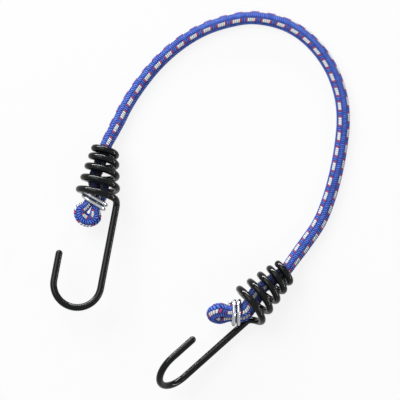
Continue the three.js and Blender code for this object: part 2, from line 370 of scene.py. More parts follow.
# A wire's domed tip: how many rings it has, and the share of the wire's radius that is left at its top
HOOK_DOME_RINGS = 8
STRAND_DOME_RINGS = 4
DOME_TOP_SHARE = 0.03

# The lamps: name, place from the centre, size, share of the softbox's power, and whether it lights matt
# surfaces. The two strips show in glossy surfaces only.
LAMPS = (
    ("key", (-0.95, 0.85, 1.5), (1.4, 1.4), 1, True),
    ("rim", (0.1, 1.6, 0.45), (1.6, 0.05), 0.35, True),
    ("fill", (1.2, -0.7, 1.1), (0.4, 0.06), 0.08, True),
    ("back_strip", (-0.4, 1.55, 0.2), (2.0, 0.16), 3.6, False),
    ("side_strip", (1.5, -0.3, 0.25), (1.4, 0.1), 0.6, False),
)

# The light's colour, the floor's half width and its height, and the camera's sensor in millimetres
WHITE = (1, 1, 1, 1)
FLOOR_REACH = 1.5
FLOOR_HEIGHT = -0.0001
SENSOR_WIDTH = 36


def size_property(name, description, default):
    """A size that a user may change."""
    return FloatProperty(name=name, description=description, default=default, unit="LENGTH")


def colour_property(name, description, default):
    """A colour that a user may change."""
    return FloatVectorProperty(name=name, description=description, default=default, size=3, subtype="COLOR")


class CordSettings(bpy.types.PropertyGroup):
    """The cord's sizes and colours."""

    diameter: size_property("Diameter", "Thickness of the cord", 0.008)
    rib_pitch: size_property("Rib Pitch", "Distance along the cord from rib to rib", 0.001153)
    rib_depth: size_property("Rib Depth", "How far the grooves lie below the ribs", 0.0006)
    blue: colour_property("Blue", "Colour of most of the yarns", (0.09, 0.2, 1.0))
    # Painted shade: the dark that stands for the shade in the grooves between ribs
    groove_shade: colour_property("Groove Shade", "Colour between the ribs", (0.0005, 0.002, 0.03))
    white: colour_property("White", "Colour of the pale tracers", (1.0, 1.0, 1.0))
    red: colour_property("Red", "Colour of the red tracers", (0.54, 0.1, 0.25))
    # Painted shade: the colour to which the braid inside a coil is darkened, standing in for the shade between the
    # turns
    painted_shade: colour_property("Painted Shade", "Colour of the braid that a coil blackened", (0.008, 0.009, 0.012))
    rubber: colour_property("Rubber", "Colour of the strands inside", (0.62, 0.5, 0.3))
    strands: IntProperty(name="Strands", description="Strands in a cut tail", default=19, min=7, max=40)


class HookSettings(bpy.types.PropertyGroup):
    """The hooks' wire, its coating and the clamps' finish."""

    coated_radius: size_property("Coated Radius", "Radius of the wire with its coating", 0.0021)
    steel_radius: size_property("Steel Radius", "Radius of the bare wire", 0.0017)
    coating: colour_property("Coating", "Colour of the dipped coating", (0.004, 0.0045, 0.005))
    steel: colour_property("Steel", "Colour of the cut wire", (0.5, 0.5, 0.51))
    zinc: colour_property("Zinc", "Colour of the plated clamps", (0.5, 0.52, 0.54))


class StageSettings(bpy.types.PropertyGroup):
    """The camera, the floor and the light."""

    centre: FloatVectorProperty(
        name="Centre",
        description="Point under the camera",
        default=(-0.0603, -0.0996, 0.004),
        size=3,
        subtype="XYZ",
    )
    width: size_property("Width", "Width of the picture", 0.2388)
    height: size_property("Height", "Height of the camera", 4.0)
    floor: colour_property("Floor", "Colour of the floor", (0.9, 0.9, 0.9))
    floor_glow: FloatProperty(
        name="Floor Glow",
        description="Share of plain white in the floor as it is seen and mirrored",
        default=0.85,
        max=1,
    )
    sky: FloatProperty(name="Sky", description="Level of the light from all round", default=0.28, min=0)
    softbox: FloatProperty(name="Softbox", description="Power of the key lamp, in watts", default=31, min=0)


# Paths


def unit(vectors):
    """Each vector over its own length."""
    return vectors / np.linalg.norm(vectors, axis=-1, keepdims=True)


def through(points, per_stretch=24):
    """A centripetal Catmull-Rom curve: between two points it is the cubic whose slopes at them come from
    the points on both sides, each stretch being timed by the square root of its length. Beyond an end, the
    next point is the last but one turned about the last."""
    points = np.asarray(points, float)
    padded = np.vstack((2 * points[0] - points[1], points, 2 * points[-1] - points[-2]))
    place = np.linspace(0, len(points) - 1, (len(points) - 1) * per_stretch + 1)
    stretch = np.minimum(place.astype(int), len(points) - 2)
    t = (place - stretch)[:, None]
    a, b, c, d = (padded[stretch + k] for k in range(4))
    ab, bc, cd = (np.sqrt(np.linalg.norm(q - p, axis=1))[:, None] for p, q in ((a, b), (b, c), (c, d)))
    leaving = ((b - a) / ab - (c - a) / (ab + bc) + (c - b) / bc) * bc
    arriving = ((c - b) / bc - (d - b) / (bc + cd) + (d - c) / cd) * bc
    curve = b + leaving * t
    curve = curve + (3 * (c - b) - 2 * leaving - arriving) * t**2
    return curve + (2 * (b - c) + leaving + arriving) * t**3, place


def evenly(path, step, values=()):
    """The path at even steps, its distance from the start there, and each of the values there."""
    distance = np.concatenate(([0], np.cumsum(np.linalg.norm(np.diff(path, axis=0), axis=1))))
    along = np.linspace(0, distance[-1], round(distance[-1] / step) + 1)
    points = np.stack([np.interp(along, distance, path[:, k]) for k in range(3)], axis=1)
    return points, along, [np.interp(along, distance, value) for value in values]


def headings(points):
    """The way ahead at each point, from its neighbours on both sides."""
    return unit(np.gradient(points, axis=0))


def frames_over(points, over):
    """Frames whose first direction is over × ahead, so that the second stays as near to over as it can."""
    ahead = headings(points)
    across = unit(np.cross(over, ahead))
    return across, np.cross(ahead, across), ahead


def frames_untwisted(points, first):
    """Frames that follow the path without turning about it: each first direction is the last made square."""
    ahead = headings(points)
    across = np.empty_like(points)
    side = np.asarray(first, float)
    for i, way in enumerate(ahead):
        side = side - way * (side @ way)
        side = side / np.linalg.norm(side)
        across[i] = side
    return across, np.cross(ahead, across), ahead


# Where the hooks and eyes lie


def coil_place(name):
    """The coil's three directions and the start of its axis, from the joint on which the hook turns. The
    first direction is level and to the left of the axis, before the hook's roll."""
    joint = JOINTS[f"{name}_hook_swivel"]
    ahead = unit(np.array(joint["axis"], float))
    level = unit(np.cross((0, 0, 1), ahead))
    over = np.cross(ahead, level)
    roll = math.radians(ENDS[name]["hook_roll"])
    side = level * math.cos(roll) + over * math.sin(roll)
    start = np.array(joint["pos_m"], float)
    return {"start": start, "side": side, "over": np.cross(ahead, side), "ahead": ahead}


def coil_mouth(name):
    """The point on the coil's axis a short way before its small end."""
    place = coil_place(name)
    return place["start"] - place["ahead"] * MOUTH_REACH


def eye_place(name):
    """The clamp's middle, the eye's three directions from its heading and its roll, and the way in which
    the eye leans off the coil's axis."""
    end, coil = ENDS[name], coil_place(name)
    heading, roll = math.radians(end["eye_heading"]), math.radians(end["eye_roll"])
    ahead = np.array((math.cos(heading), math.sin(heading), 0))
    level = np.array((-math.sin(heading), math.cos(heading), 0))
    side = level * math.cos(roll) + np.cross(ahead, level) * math.sin(roll)
    lean = unit(ahead - coil["ahead"] * (ahead @ coil["ahead"]))
    reach = end["coil_length"] + end["clamp_distance"]
    clamp = coil["start"] + coil["ahead"] * reach + lean * end["clamp_offset"]
    return {"clamp": clamp, "lean": lean, "side": side, "over": np.cross(ahead, side), "ahead": ahead}


# Meshes


def add_object(name, data):
    """A new object of this mesh, lamp or camera, in the scene."""
    added = bpy.data.objects.new(name, data)
    bpy.context.scene.collection.objects.link(added)
    return added


def rings_mesh(name, rings, uv=None, capped=(True, True)):
    """A skin over rings of points, closed round and with a flat face over each capped end. A ring's points
    go round the path as a right-hand screw turns when it is driven along it, so that faces point
    outwards."""
    count, sides, _ = rings.shape
    ring, point = np.meshgrid(np.arange(count - 1), np.arange(sides), indexing="ij")
    after = (point + 1) % sides
    here, ahead = ring * sides, (ring + 1) * sides
    quads = np.stack((here + point, here + after, ahead + after, ahead + point), axis=-1).reshape(-1)
    caps = [np.arange(sides)[::-1], (count - 1) * sides + np.arange(sides)]
    caps = [cap for cap, wanted in zip(caps, capped) if wanted]
    corners = np.concatenate((quads, *caps)).astype(np.int32)
    starts = np.arange(0, len(quads), 4)
    starts = np.concatenate((starts, len(quads) + sides * np.arange(len(caps)))).astype(np.int32)
    mesh = bpy.data.meshes.new(name)
    mesh.vertices.add(count * sides)
    mesh.vertices.foreach_set("co", rings.reshape(-1).astype(np.float32))
    mesh.loops.add(len(corners))
    mesh.loops.foreach_set("vertex_index", corners)
    mesh.polygons.add(len(starts))
    mesh.polygons.foreach_set("loop_start", starts)
    mesh.update(calc_edges=True)
    mesh.validate()
    mesh.shade_smooth()
    if uv is not None:
        layer = mesh.uv_layers.new(name="Braid")
        along, around = uv
        u = np.stack((along[ring], along[ring], along[ring + 1], along[ring + 1]), axis=-1)
        v = np.stack((around[point], around[point + 1], around[point + 1], around[point]), axis=-1)
        places = np.zeros((len(corners), 2), np.float32)
        places[: len(quads)] = np.stack((u, v), axis=-1).reshape(-1, 2)
        layer.uv.foreach_set("vector", places.reshape(-1))
    return add_object(name, mesh)


def rib_relief(rows, columns):
    """How far the braid's surface lies below its highest, as a share of the rib depth. Across a rib it is a
    half round, and along one it falls at the column's edges. A rib leans, one way in even columns and the
    other way in odd ones, where the ribs also lie half a rib further on."""
    column = np.floor(columns)
    odd = column % 2
    local = columns - column
    row = rows + (1 - 2 * odd) * RIB_LEAN * (local - 0.5) + 0.5 * odd
    over_rib = 2 * (row - np.floor(row)) - 1
    over_column = np.abs(2 * local - 1)
    return 1 - np.sqrt(1 - RIB_ROUNDNESS * over_rib**2) * (1 - COLUMN_FALL * over_column**COLUMN_POWER)


def braided_tube(name, path, over, half_widths, half_depths, tracer, settings, bore=(), painted_shade=None):
    """The braid is carried along the path on an oval ring that its relief draws in. The tracer gives the
    first column's first rib and then its angles along the path, from over towards the right of the way.
    Bore is the wall, as a share of the radius, and the depth of an end that is cut open. The last argument
    gives painted shade: how dark the braid is painted, as shade, from points on the path."""
    points, along, _ = evenly(path, settings.rib_pitch / RINGS_PER_RIB)
    shares = np.linspace(0, 1, len(along))
    given = (half_widths, half_depths, tracer[1:])
    widths, depths, turns = (np.interp(shares, np.linspace(0, 1, len(v)), v) for v in given)
    across, over, ahead = frames_over(points, over)
    sides = BRAID_COLUMNS * FACES_PER_COLUMN
    around = np.arange(sides + 1) / FACES_PER_COLUMN
    rows = tracer[0] + along / settings.rib_pitch
    angles = np.radians(turns)[:, None] + (around[None, :-1] - 0.5) * (2 * math.pi / BRAID_COLUMNS)
    relief = settings.rib_depth * (rib_relief(rows[:, None], around[None, :-1]) - RIB_RISE)
    sideways = -np.sin(angles) * (widths[:, None] - relief)
    upward = np.cos(angles) * (depths[:, None] - relief)
    rings = points[:, None] + across[:, None] * sideways[..., None] + over[:, None] * upward[..., None]
    if bore:
        wall, depth = bore
        inner = points[-1] + across[-1] * (sideways[-1] * (1 - wall))[:, None]
        inner = inner + over[-1] * (upward[-1] * (1 - wall))[:, None]
        rings = np.concatenate((rings, inner[None], (inner - ahead[-1] * depth)[None]))
        rows = np.append(rows, (rows[-1], rows[-1] + 1))
    piece = rings_mesh(name, rings, (rows, around), (True, not bore))
    # Painted shade: each ring gets how dark the braid is painted there, and the rings of the bore get none
    black = np.zeros(rings.shape[:2], np.float32)
    if painted_shade is not None:
        black[:] = np.append(painted_shade(points), [0] * (len(rings) - len(points)))[:, None]
    piece.data.attributes.new("Painted Shade", "FLOAT", "POINT").data.foreach_set("value", black.reshape(-1))
    return piece, rings


def round_wire(name, path, radius, first, grid, start, finish):
    """A round ring carried along the path. Start and finish give its ends, as distances along the way from
    the path's end and shares of the radius."""
    step, sides = grid
    points, _, _ = evenly(path, step)
    across, over, ahead = frames_untwisted(points, first)
    shift = np.array([s for s, _ in start] + [0] * len(points) + [s for s, _ in finish])
    share = np.array([r for _, r in start] + [1] * len(points) + [r for _, r in finish])
    at = np.clip(np.arange(-len(start), len(points) + len(finish)), 0, len(points) - 1)
    angles = 2 * math.pi * np.arange(sides) / sides
    centres = points[at] + ahead[at] * shift[:, None]
    cosine, sine = np.cos(angles)[None, :, None], np.sin(angles)[None, :, None]
    outward = across[at][:, None] * cosine + over[at][:, None] * sine
    return rings_mesh(name, centres[:, None] + (radius * share)[:, None, None] * outward)


def dome(radius, count):
    """A half ball on a wire's end: the distance is the sine of an angle, and the share its cosine."""
    turns = np.linspace(0, math.pi / 2, count + 1)[1:]
    return [(radius * math.sin(t), max(math.cos(t), DOME_TOP_SHARE)) for t in turns]


# Shader maths


class Signal:
    """A socket on which Python's operators add Math nodes."""

    def __init__(self, paint, socket):
        self.paint = paint
        self.socket = socket

    def beside(self, output):
        """Another output of the same node."""
        return Signal(self.paint, self.socket.node.outputs[output])

    def between(self, low, high):
        """Low where this is zero, high where it is one, and even in between."""
        return self * (high - low) + low

    def maths(self, operation, *others):
        """A Math node on this and the others."""
        return self.paint.node("ShaderNodeMath", {"operation": operation}, (self, *others))

    def __add__(self, other):
        return self.maths("ADD", other)

    def __sub__(self, other):
        return self.maths("SUBTRACT", other)

    def __rsub__(self, other):
        return self.paint.node("ShaderNodeMath", {"operation": "SUBTRACT"}, (other, self))

    def __mul__(self, other):
        return self.maths("MULTIPLY", other)

    def __mod__(self, other):
        return self.maths("FLOORED_MODULO", other)

    def __gt__(self, other):
        return self.maths("GREATER_THAN", other)

    def __lt__(self, other):
        return self.maths("LESS_THAN", other)

    __radd__ = __add__
    __rmul__ = __mul__


class Paint:
    """A material or a world whose nodes are added by node()."""

    def __init__(self, owner):
        owner.use_nodes = True
        self.owner = owner
        self.tree = owner.node_tree

    def node(self, kind, settings, values=(), output=0):
        """Adds a node, sets it, and gives each value to a socket, by its place or its name."""
        node = self.tree.nodes.new(kind)
        for key, value in settings.items():
            setattr(node, key, value)
        pairs = values.items() if isinstance(values, dict) else enumerate(values)
        for key, value in pairs:
            self.feed(node.inputs[key], value)
        return Signal(self, node.outputs[output])

    def feed(self, socket, value):
        """Links a signal to a socket, or sets a value on it."""
        if isinstance(value, Signal):
            self.tree.links.new(value.socket, socket)
        else:
            socket.default_value = value

    def mix(self, share, first, second):
        """A mix of two colours."""
        settings = {"data_type": "RGBA"}
        return self.node("ShaderNodeMix", settings, {0: share, 6: rgba(first), 7: rgba(second)}, output=2)

    def noise(self, place, scale, detail):
        """Noise from zero to one, finer as its scale grows."""
        return self.node("ShaderNodeTexNoise", {}, {"Vector": place, "Scale": scale, "Detail": detail})

    def object_place(self):
        """The place on the object, in its own axes."""
        return self.node("ShaderNodeTexCoord", {}, output="Object")

    def bump(self, height, distance, strength):
        """Normals of a surface raised by the height times the distance."""
        values = {"Height": height, "Distance": distance, "Strength": strength}
        return self.node("ShaderNodeBump", {}, values)

    def surface(self, values):
        """Feeds the material's own shader."""
        shader = self.tree.nodes["Principled BSDF"]
        for key, value in values.items():
            self.feed(shader.inputs[key], value)
        return self.owner


def rgba(colour):
    """A colour with full cover, or a signal as it is."""
    return colour if isinstance(colour, Signal) else (*colour, 1)


def shade(colour, factor):
    """A brighter or darker colour."""
    return [min(1, channel * factor) for channel in colour]


def new_paint(name):
    """A new material of this name, ready for nodes."""
    return Paint(bpy.data.materials.new(name))


# Finishes


def braid_finish(settings):
    """Each rib has one colour. In even columns the ribs are four white, a red, two blue and a red, and the
    next such column is a quarter of a repeat on. Blue ribs differ a little, and a painted highlight makes
    them palest along their crests. Between ribs the yarn is painted dark as the grooves' shade, and fine
    threads run along it. Inside a coil the braid is painted darker still, as the shade between the turns.
    All three pieces of the cord share the material."""
    found = bpy.data.materials.get("woven_sheath")
    if found:
        return found
    paint = new_paint("woven_sheath")
    place = paint.node("ShaderNodeUVMap", {"uv_map": "Braid"})
    along = paint.node("ShaderNodeSeparateXYZ", {}, (place,))
    around = along.beside(1)
    column = around.maths("FLOOR")
    odd = column % 2
    local = around - column
    row = along + (1 - odd * 2) * (local - 0.5) * RIB_LEAN + odd * 0.5
    rib = row.maths("FLOOR")
    from_middle = ((row - rib) * 2 - 1).maths("ABSOLUTE")
    over_column = (local * 2 - 1).maths("ABSOLUTE")

    step = (rib - column + RIBS_PER_REPEAT) % RIBS_PER_REPEAT
    first_red, last_red = WHITE_RIBS, RIBS_PER_REPEAT - 1
    traced = 1 - odd
    white = traced * (step < first_red - 0.5) * (over_column < WHITE_REACH)
    reds = (step > first_red - 0.5) * (step < first_red + 0.5) + (step > last_red - 0.5)
    red = traced * reds * (over_column < RED_REACH)

    seed_scales = 0.37, 1.7
    number = paint.node("ShaderNodeCombineXYZ", {}, (rib * seed_scales[0], column * seed_scales[1], 0))
    chance = paint.node("ShaderNodeTexWhiteNoise", {"noise_dimensions": "2D"}, {"Vector": number})
    slant = 4
    thread = (row * (THREADS_PER_RIB * 2 * math.pi) + local * slant).maths("SINE") * 0.5 + 0.5

    # A rib keeps its colour to about half way from its middle, and by four fifths it has given way to the painted
    # shade of the groove
    crown_level, crown_fall = 2.6, 3.3
    edge_power, edge_share = 3, 0.6
    rise = (crown_level - from_middle * crown_fall).maths("MINIMUM", 1).maths("MAXIMUM", 0)
    crown = rise * (1 - over_column.maths("POWER", edge_power) * edge_share)

    blue = paint.mix(chance, shade(settings.blue, 1.3), shade(settings.blue, 0.75))
    # Painted highlight: blue ribs turn a little paler towards white along their crests, as a sheen would light them
    highlight_fall, highlight_share = 2.5, 0.08
    crest_highlight = (1 - from_middle * highlight_fall).maths("MAXIMUM", 0)
    blue = paint.mix(crest_highlight * highlight_share, blue, settings.white)
    colour = paint.mix(white, blue, settings.white)
    colour = paint.mix(red, colour, settings.red)
    # Painted shade: between the ribs the colour is darkened to the groove shade, a little less under white tracers
    white_in_grooves = 0.3
    colour = paint.mix((1 - crown) * (1 - white * white_in_grooves), colour, settings.groove_shade)
    # Painted shade: the attribute darkens the braid inside a coil towards this colour, standing in for the shade
    # between the turns
    painted_shade = paint.node("ShaderNodeAttribute", {"attribute_name": "Painted Shade"}, output="Fac")
    colour = paint.mix(painted_shade * chance.between(0.88, 1), colour, settings.painted_shade)
    return paint.surface(
        {
            "Base Color": colour,
            "Roughness": thread.between(0.62, 0.44),
            "Normal": paint.bump(thread * crown, distance=0.00006, strength=0.7),
            "Specular IOR Level": 0.05,
            "Sheen Weight": 0.02,
            "Sheen Roughness": 0.4,
        }
    )


def coating_finish(settings):
    """A glossy dip: its thickness wanders a little, and fine dust and rubs dull it in places."""
    paint = new_paint("dipped_coating")
    place = paint.object_place()
    waves = paint.noise(place, scale=140, detail=2)
    rubs = paint.noise(place, scale=900, detail=4)
    return paint.surface(
        {
            "Base Color": paint.mix(rubs.between(0, 0.25), settings.coating, shade(settings.coating, 2)),
            "Roughness": rubs.between(0.06, 0.2),
            "Normal": paint.bump(waves, distance=0.0004, strength=0.2),
            "IOR": 1.23,
        }
    )


def metal_finish(name, colour, smooth, rough, scale):
    """Plated or drawn wire: fine marks change its roughness, and a thin haze dulls it here and there."""
    paint = new_paint(name)
    place = paint.object_place()
    marks = paint.noise(place, scale=scale, detail=5)
    coarser = 8
    haze = paint.noise(place, scale=scale / coarser, detail=2)
    return paint.surface(
        {
            "Base Color": paint.mix(haze, colour, shade(colour, 0.72)),
            "Metallic": 1.0,
            "Roughness": marks.between(smooth, rough),
            "Normal": paint.bump(marks, distance=0.00003, strength=0.5),
        }
    )


def rubber_finish(settings):
    """Natural rubber: tan and dull, darker in patches, with a fine dusting."""
    paint = new_paint("rubber_strands")
    place = paint.object_place()
    patches = paint.noise(place, scale=500, detail=3)
    dust = paint.noise(place, scale=4000, detail=2)
    return paint.surface(
        {
            "Base Color": paint.mix(patches, settings.rubber, shade(settings.rubber, 0.6)),
            "Roughness": dust.between(0.7, 0.9),
            "Normal": paint.bump(dust, distance=0.00003, strength=0.4),
        }
    )


def seen_rays(paint):
    """One on rays that show a thing itself, in a mirror or through glass, and zero on those that light."""
    camera = paint.node("ShaderNodeLightPath", {}, output="Is Camera Ray")
    through_glass = camera.beside("Is Transmission Ray")
    return camera.maths("MAXIMUM", camera.beside("Is Glossy Ray")).maths("MAXIMUM", through_glass)


def floor_finish(settings):
    """A plain pale floor that keeps the object's shadow, with a faint grain in its roughness."""
    paint = new_paint("pale_floor")
    grain = paint.noise(paint.object_place(), scale=60, detail=3)
    floor = {"Base Color": rgba(settings.floor), "Roughness": grain.between(0.7, 0.9), "IOR": 1.2}
    material = paint.surface(floor)
    lit = Signal(paint, paint.tree.nodes["Principled BSDF"].outputs["BSDF"])
    glow = paint.node("ShaderNodeEmission", {}, {"Color": WHITE, "Strength": 1.0})
    shown = paint.node("ShaderNodeMixShader", {}, (seen_rays(paint) * settings.floor_glow, lit, glow))
    paint.feed(paint.tree.nodes["Material Output"].inputs["Surface"], shown)
    return material


# Pieces


def free_cord_path():
    """The route at its real heights, and the same with a short lead along each coil's axis at its ends."""
    rest_height = bpy.context.scene.bungee_cord.diameter / 2 * RESTING_SHARE
    mouths = {name: coil_mouth(name) for name in ENDS}
    route = np.array(ROUTE, float)
    first_half = np.arange(len(route)) < len(route) // 2
    heights = np.where(first_half, mouths["left"][2], mouths["right"][2])
    z = rest_height + (heights - rest_height) * route[:, 2]
    points = np.column_stack((route[:, :2] * MM, z))
    leads = [mouths[name] + coil_place(name)["ahead"] * CORD_LEAD for name in ENDS]
    return points, np.vstack((leads[0], points, leads[1]))


def eye_rows(name):
    """Points along the cord from the coil's mouth, through the clamp, round the eye and back to its tail,
    with the shares of the cord's radius at each. The fold is part of a circle."""
    end, coil, eye = ENDS[name], coil_place(name), eye_place(name)

    def in_coil(share, aside):
        """A point at a share of the coil's length, aside by a share of half the pair's spacing."""
        along = coil["ahead"] * end["coil_length"] + eye["lean"] * end["clamp_offset"]
        return coil["start"] + along * share + eye["side"] * aside * PAIR_SPACING / 2

    def at_eye(distance, side, spacing):
        """A point at a distance beyond the clamp, aside by a share of half the spacing."""
        return eye["clamp"] + eye["ahead"] * distance + eye["side"] * side * spacing / 2

    def on_fold(turn):
        """A point on the fold's circle, by its turn from the far side."""
        return at_eye(end["fold_distance"] + EYE_WIDTH / 2 * math.cos(turn), -math.sin(turn), EYE_WIDTH)

    def squeeze_at(share):
        """The squeeze inside the coil: from the tail's end on, two lengths of cord share the room."""
        return NECK if share < TAIL_END_SHARE else PAIR

    grip = (-GRIP_REACH - CLAMP_LEAD, 0, GRIP_REACH)
    return [
        (coil["start"] - coil["ahead"] * EYE_LEAD, NECK),
        *((in_coil(share, -aside), squeeze_at(share)) for share, aside in ASIDE_SHARES),
        *((at_eye(distance, -1, LEG_SPACING), CLAMPED) for distance in grip),
        *((on_fold(math.radians(degrees)), FOLD) for degrees in FOLD_DEGREES),
        *((at_eye(distance, 1, LEG_SPACING), CLAMPED) for distance in reversed(grip)),
        (in_coil(TAIL_END_SHARE, 1), PAIR),
    ]


def eye_tube(name, settings):
    """The braid carried along the eye's rows, cut open at its tail, with painted shade on it inside the coil."""
    rows = eye_rows(name)
    path, place = through([point for point, _ in rows])
    shares = np.array([share for _, share in rows], float)
    radius = settings.diameter / 2
    _, _, (widths, depths) = evenly(
        path,
        settings.rib_pitch / RINGS_PER_RIB,
        [radius * np.interp(place, np.arange(len(rows)), shares[:, k]) for k in range(2)],
    )
    end, coil = ENDS[name], coil_place(name)

    def painted_shade(points):
        """How dark the braid is painted, as shade, from how far along the coil's axis it lies."""
        reach = (points - coil["start"]) @ coil["ahead"] / end["coil_length"]
        return np.interp(reach, *np.transpose(end["painted_shade_stops"]))

    return braided_tube(
        f"{name}_eye",
        path,
        eye_place(name)["over"],
        widths,
        depths,
        end["tracer"],
        settings,
        bore=(SHEATH_WALL / radius, BORE_DEPTH),
        painted_shade=painted_shade,
    )


def tail_strands(name, settings):
    """Rubber strands in the cut end: one in the middle and rows round it, with domed ends that stand a
    little past the sheath by uneven lengths."""
    path, _ = through([point for point, _ in eye_rows(name)])
    points, _, _ = evenly(path, TAIL_STEP)
    across, over, ahead = frames_over(points, eye_place(name)["over"])
    radius = settings.diameter / 2 - SHEATH_WALL
    width, depth = (radius * share for share in PAIR)
    thin = STRAND_RADIUS * radius
    outer_count = settings.strands - sum(count for _, count in STRAND_ROWS)
    chance = np.random.default_rng(STRAND_SEED)
    strands = []
    for share, count in (*STRAND_ROWS, (OUTER_ROW, outer_count)):
        for k in range(count):
            turn = 2 * math.pi * k / count + share
            offset = across[-1] * width * share * math.cos(turn) + over[-1] * depth * share * math.sin(turn)
            tip = points[-1] + offset + ahead[-1] * chance.uniform(*STRAND_REACH)
            strand_path = np.stack((tip - ahead[-1] * STRAND_LENGTH, tip))
            tip_dome = dome(thin, STRAND_DOME_RINGS)
            strand = round_wire(f"{name}_strand", strand_path, thin, across[-1], STRAND_GRID, [], tip_dome)
            strands.append(strand)
    return join(strands, f"{name}_tail_strands")


def join(pieces, name):
    """Makes one object of several."""
    kept = pieces[0]
    with bpy.context.temp_override(active_object=kept, object=kept, selected_editable_objects=pieces):
        bpy.ops.object.join()
    kept.name = name
    kept.data.name = name
    return kept


def hook_path(name):
    """The wire's middle line, worked out in the coil's directions, and a first direction across it. The
    coil's radius grows evenly with its length, and its length with a power of its turns. Then come a cubic
    bend, the straight shank, half a circle and the tip."""
    end, place = ENDS[name], coil_place(name)
    degrees = COIL_START_DEGREES - COIL_END_DEGREES + COIL_TURNS * 360
    share = np.linspace(0, 1, WINDING_POINTS)
    growth = share ** end["pitch_power"]
    angle = np.radians(COIL_START_DEGREES - degrees * share)
    radius = SMALL_COIL_RADIUS + (WIDE_COIL_RADIUS - SMALL_COIL_RADIUS) * growth
    coil = np.column_stack((radius * np.cos(angle), radius * np.sin(angle), end["coil_length"] * growth))
    leaving = unit(coil[-1] - coil[-2])
    handle = BEND_RADIUS * BEND_HANDLE_SHARE
    shank = np.array((SHANK_OFFSET, 0, end["coil_length"] + BEND_RADIUS))
    way = unit(np.array((*np.tan(np.radians(end["shank_lean"])), 1)))
    outward = unit(np.array((1, 0, 0)) - way * way[0])
    corners = coil[-1], coil[-1] + leaving * handle, shank - way * handle, shank
    t = np.linspace(0, 1, BEND_POINTS + 1)[1:, None]
    weights = (1 - t) ** 3, 3 * t * (1 - t) ** 2, 3 * t**2 * (1 - t), t**3
    bend = sum(weight * corner for weight, corner in zip(weights, corners))
    turn = np.linspace(0, math.pi, ROUND_POINTS + 1)[:, None]
    crook = shank + way * SHANK_LENGTH + HOOK_RADIUS * (outward * (np.cos(turn) - 1) + way * np.sin(turn))
    local = np.vstack((coil, bend, crook, crook[-1] - way * TIP_LENGTH))
    axes = np.stack((place["side"], place["over"], place["ahead"]))
    return place["start"] + local @ axes, place["ahead"]


def clamp_path(name, settings):
    """The wire's middle line and a first direction across it. It is a rounded box round both legs: its half
    width and half depth take the cosine and sine of the turn, each to the power two thirds, while the wire
    moves one pitch along the eye in each turn."""
    eye = eye_place(name)
    radius = settings.diameter / 2
    clear = CLAMP_TO_CORD + CLAMP_WIRE_RADIUS
    half_width = LEG_SPACING / 2 + radius * CLAMPED[0] + clear
    half_depth = radius * CLAMPED[1] + clear
    overlap = math.radians(CLAMP_OVERLAP_DEGREES)
    sweep = CLAMP_TURNS * 2 * math.pi + overlap
    share = np.linspace(0, 1, WINDING_POINTS)
    angle = sweep * share - (math.pi + overlap) / 2
    travel = CLAMP_PITCH * sweep / (2 * math.pi) * (0.5 - share)

    def bulge(value):
        """A sine or cosine to the power that rounds the box's corners."""
        return np.sign(value) * np.abs(value) ** (2 / CLAMP_CORNER_POWER)

    local = np.column_stack((half_width * bulge(np.cos(angle)), half_depth * bulge(np.sin(angle)), travel))
    return eye["clamp"] + local @ np.stack((eye["side"], eye["over"], eye["ahead"])), eye["ahead"]


def finish_piece(piece, material, slot, nodes):
    """Gives a piece its material, its slot and the nodes that it replaces."""
    piece.data.materials.clear()
    piece.data.materials.append(material)
    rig.slot(piece, slot)
    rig.replaces(piece, *nodes)


class BUNGEE_OT_free_cord(bpy.types.Operator):
    """Build the free stretch of the braided cord"""

    bl_idname = "bungee.free_cord"
    bl_label = "Free Cord"

    def execute(self, context):
        settings = context.scene.bungee_cord
        route, points = free_cord_path()
        path, _ = through(points)
        line, _ = through(route)
        radius = settings.diameter / 2
        _, along, _ = evenly(path, settings.rib_pitch / RINGS_PER_RIB)
        from_end = np.minimum(along, along[-1] - along)
        widened = np.clip((from_end - SQUEEZED_LENGTH) / WIDENING_LENGTH, 0, 1)
        half = radius * (NECK[0] + (1 - NECK[0]) * widened)
        piece, rings = braided_tube("braided_cord", path, (0, 0, 1), half, half, FREE_TRACER, settings)
        rings[..., 2] = np.maximum(rings[..., 2], 0)
        piece.data.vertices.foreach_set("co", rings.reshape(-1).astype(np.float32))
        piece.data.update()
        finish_piece(piece, braid_finish(settings), "braid", ["free_cord_sheath", "free_cord_rubber"])
        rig.blend(piece, "left_end", "right_end", start=route[0], end=route[-1])
        line_length = float(np.linalg.norm(np.diff(line, axis=0), axis=1).sum())
        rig.cord(
            piece,
            exit=route[0],
            length=round(line_length, 4),
            diameter=settings.diameter,
            far_end="object",
            stiffness="stiff",
            lay="loose",
            path=line,
        )
        return {"FINISHED"}


class BUNGEE_OT_eyes(bpy.types.Operator):
    """Build the folded eye at each end of the cord"""

    bl_idname = "bungee.eyes"
    bl_label = "Eyes"

    def execute(self, context):
        settings = context.scene.bungee_cord
        for name in ENDS:
            piece, _ = eye_tube(name, settings)
            finish_piece(piece, braid_finish(settings), "braid", [f"{name}_eye_sheath"])
            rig.ride(piece, f"{name}_end")
        return {"FINISHED"}


class BUNGEE_OT_tails(bpy.types.Operator):
    """Build the rubber strands that show in each cut tail"""

    bl_idname = "bungee.tails"
    bl_label = "Tail Strands"

    def execute(self, context):
        settings = context.scene.bungee_cord
        rubber = rubber_finish(settings)
        for name in ENDS:
            piece = tail_strands(name, settings)
            finish_piece(piece, rubber, "rubber", [f"{name}_eye_rubber"])
            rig.ride(piece, f"{name}_end")
        return {"FINISHED"}


